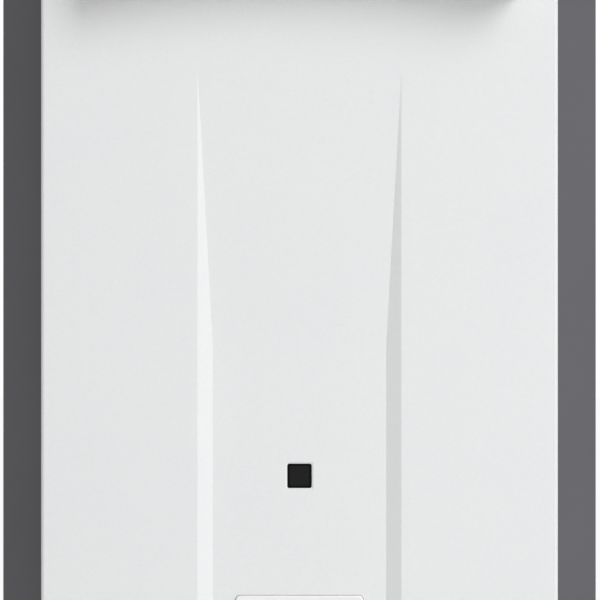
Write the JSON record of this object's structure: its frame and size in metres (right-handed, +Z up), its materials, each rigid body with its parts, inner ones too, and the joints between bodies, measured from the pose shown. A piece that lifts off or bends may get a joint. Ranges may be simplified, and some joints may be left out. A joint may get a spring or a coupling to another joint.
{
  "type": "tankless gas water heater",
  "caption": "Wall-hung outdoor tankless gas water heater: grey case, white front cover with a ramped channel, exhaust hood on top and pipe connections below.",
  "frame": {"origin": "middle of the upper line of wall bolts, on the wall's surface", "axes": "+Z up, +Y into the wall, so the front faces -Y; +X to the right seen from the front"},
  "size_m": [0.35, 0.2, 0.658],
  "materials": {
    "case_paint": "satin powder coat",
    "cover_paint": "fine-textured satin powder coat",
    "galvanised": "galvanised, spangled",
    "stainless": "brushed stainless",
    "grille_paint": "matt heat-proof black",
    "foam": "closed-cell foam",
    "screw_steel": "zinc-plated",
    "window": "smoked, glossy",
    "brass": "machined",
    "copper": "drawn copper",
    "cast_aluminium": "die-cast",
    "pressed_steel": "aluminised sheet",
    "black_plastic": "moulded, fine grain",
    "grey_plastic": "moulded, fine grain",
    "white_plastic": "moulded acetal",
    "ceramic": "glazed alumina",
    "circuit_board": "solder resist",
    "wire_sleeve": "silicone sleeve"
  },
  "bodies": {
    "heater": {"case_wrap": "case_paint", "top_cap": "case_paint", "bottom_plate": "case_paint", "cover_seal": "foam", "cover_screws": "screw_steel", "exhaust_seal": "foam", "upper_bracket": "galvanised", "lower_bracket": "galvanised", "bracket_screws": "screw_steel", "engine_frame": "galvanised", "cold_inlet": "brass", "hot_outlet": "brass", "gas_inlet": "brass", "fitting_flanges": "galvanised", "flange_screws": "screw_steel", "cable_gland": "black_plastic", "burner_case": "galvanised", "burner_bars": "stainless", "gas_manifold": "cast_aluminium", "injectors": "brass", "gas_valve": "cast_aluminium", "valve_coils": "black_plastic", "gas_pipe": "copper", "exchanger_shell": "copper", "exchanger_fins": "copper", "exchanger_tube": "copper", "union_nuts": "brass", "exhaust_duct": "stainless", "fan_housing": "pressed_steel", "fan_motor": "cast_aluminium", "flow_sensor": "black_plastic", "flow_valve": "brass", "flow_motor": "black_plastic", "cold_pipe": "copper", "hot_pipe": "copper", "controller_tray": "black_plastic", "controller_board": "circuit_board", "controller_lid": "grey_plastic", "display_board": "circuit_board", "igniter": "black_plastic", "electrodes": "ceramic", "thermistors": "brass", "overheat_switch": "stainless", "wiring": "wire_sleeve"},
    "cover": {"front_cover": "cover_paint", "cover_frame": "galvanised", "display_window": "window", "name_plate": "stainless", "exhaust_hood": "stainless", "exhaust_grille": "grille_paint"},
    "fan": {"fan_wheel": "black_plastic", "fan_shaft": "screw_steel"},
    "turbine": {"flow_turbine": "white_plastic"},
    "flow_plug": {"flow_plug": "white_plastic"},
    "main_plunger": {"main_plunger": "screw_steel"},
    "stage_plunger": {"stage_plunger": "screw_steel"},
    "modulating_plunger": {"modulating_plunger": "screw_steel"},
    "filter": {"filter_cap": "black_plastic", "filter_strainer": "screw_steel"},
    "drain": {"drain_plug": "brass"}
  },
  "joints": [
    {"name": "cover_off", "type": "slide", "parent": "heater", "child": "cover", "axis": [0, -1, 0], "range_m": [0, 0.25]},
    {"name": "fan_spin", "type": "hinge", "parent": "heater", "child": "fan", "pos_m": [-0.018, -0.05, -0.498], "axis": [0, -1, 0], "continuous": true},
    {"name": "turbine_spin", "type": "hinge", "parent": "heater", "child": "turbine", "pos_m": [0.118, -0.113, -0.541], "axis": [0, 0, 1], "continuous": true},
    {"name": "flow_plug_turn", "type": "hinge", "parent": "heater", "child": "flow_plug", "pos_m": [0.118, -0.113, -0.496], "axis": [1, 0, 0], "range_deg": [0, 90]},
    {"name": "main_plunger_lift", "type": "slide", "parent": "heater", "child": "main_plunger", "axis": [0, -1, 0], "range_m": [0, 0.002], "stiffness_N_per_m": 300, "springref_m": -0.004},
    {"name": "stage_plunger_lift", "type": "slide", "parent": "heater", "child": "stage_plunger", "axis": [0, -1, 0], "range_m": [0, 0.002], "stiffness_N_per_m": 300, "springref_m": -0.004},
    {"name": "modulating_plunger_lift", "type": "slide", "parent": "heater", "child": "modulating_plunger", "axis": [0, -1, 0], "range_m": [0, 0.002], "stiffness_N_per_m": 300, "springref_m": -0.004},
    {"name": "filter_pull", "type": "slide", "parent": "heater", "child": "filter", "axis": [0, -1, 0], "range_m": [0, 0.06]},
    {"name": "drain_pull", "type": "slide", "parent": "heater", "child": "drain", "axis": [0, -1, 0], "range_m": [0, 0.04]}
  ]
}
